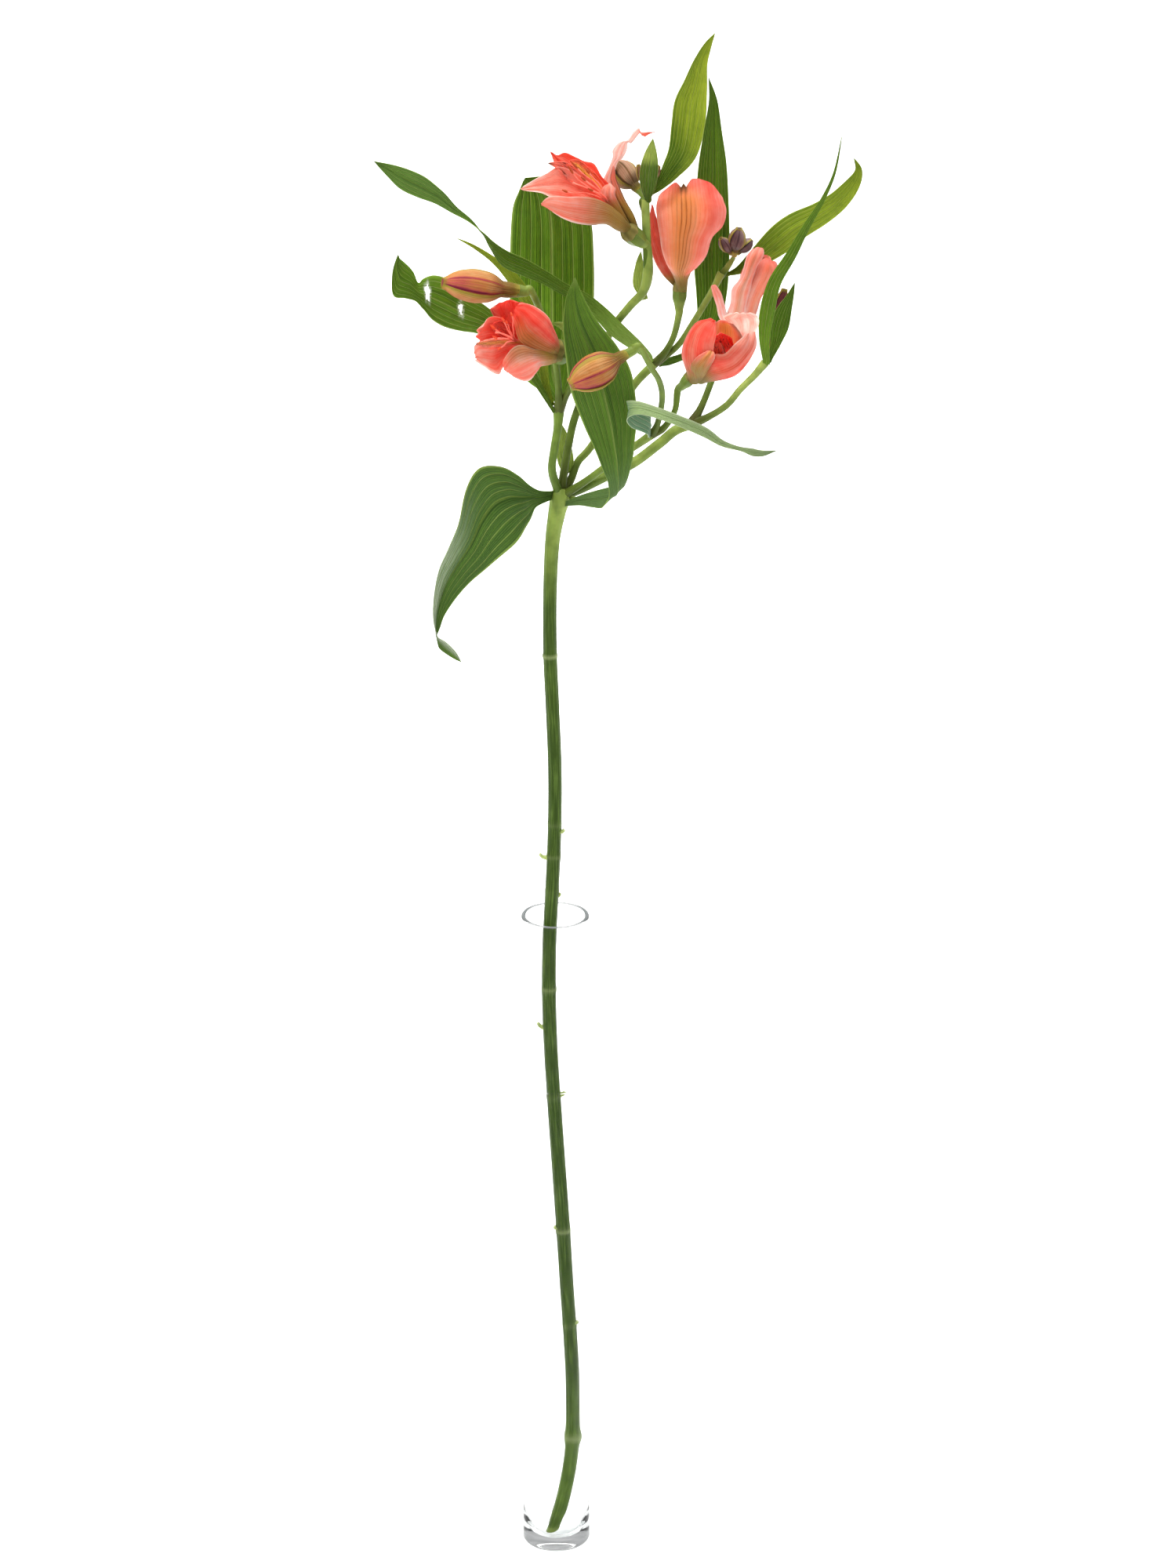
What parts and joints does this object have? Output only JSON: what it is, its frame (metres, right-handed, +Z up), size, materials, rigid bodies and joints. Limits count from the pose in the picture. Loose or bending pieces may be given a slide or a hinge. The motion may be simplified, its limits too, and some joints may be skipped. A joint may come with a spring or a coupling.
{
  "type": "alstroemeria stem in a glass tube vase",
  "caption": "Single cut alstroemeria stem with an umbel of coral flowers, buds and twisted green leaves, standing in a tall clear glass tube vase with water.",
  "frame": {"origin": "centre of the vase's flat base", "axes": "+Z up along the vase, +X to the right in the front view, -Y towards the front"},
  "size_m": [0.2085, 0.1076, 0.7112],
  "materials": {
    "vase_glass": "gloss",
    "water": "gloss",
    "stem_green": "satin",
    "leaf_green": "satin",
    "leaf_bright": "satin",
    "leaf_bluish": "satin",
    "bract_pale": "satin",
    "petal_coral": "satin",
    "petal_salmon": "satin",
    "petal_red": "satin",
    "bud_orange": "satin",
    "bud_olive": "satin",
    "bud_plum": "satin",
    "bud_maroon": "satin"
  },
  "bodies": {
    "root": {"vase": "vase_glass", "water": "water", "stem": "stem_green", "bloom_top_left": "petal_coral", "bloom_top_back": "petal_salmon", "bloom_red_left": "petal_red", "bloom_cup_right": "petal_red", "bloom_right_back": "petal_salmon", "bud_left": "bud_orange", "bud_front": "bud_orange", "bud_back_top": "bud_olive", "bud_dark_right": "bud_maroon", "buds_top": "bud_olive", "buds_right": "bud_plum", "leaf_front": "leaf_green", "leaf_drooping": "leaf_green", "leaf_broad_back": "leaf_green", "leaf_twisted_left": "leaf_green", "leaf_narrow_left": "leaf_bright", "leaf_bitten_left": "leaf_green", "leaf_top": "leaf_bright", "leaf_top_back": "leaf_green", "leaf_hooked_right": "leaf_bright", "leaf_long_right": "leaf_green", "leaf_short_right": "leaf_green", "leaf_curled": "leaf_bluish", "bract_upright": "bract_pale", "bract_node": "bract_pale", "bract_top": "bract_pale", "bract_pedicel": "bract_pale", "bract_pale": "bract_pale"}
  },
  "joints": []
}
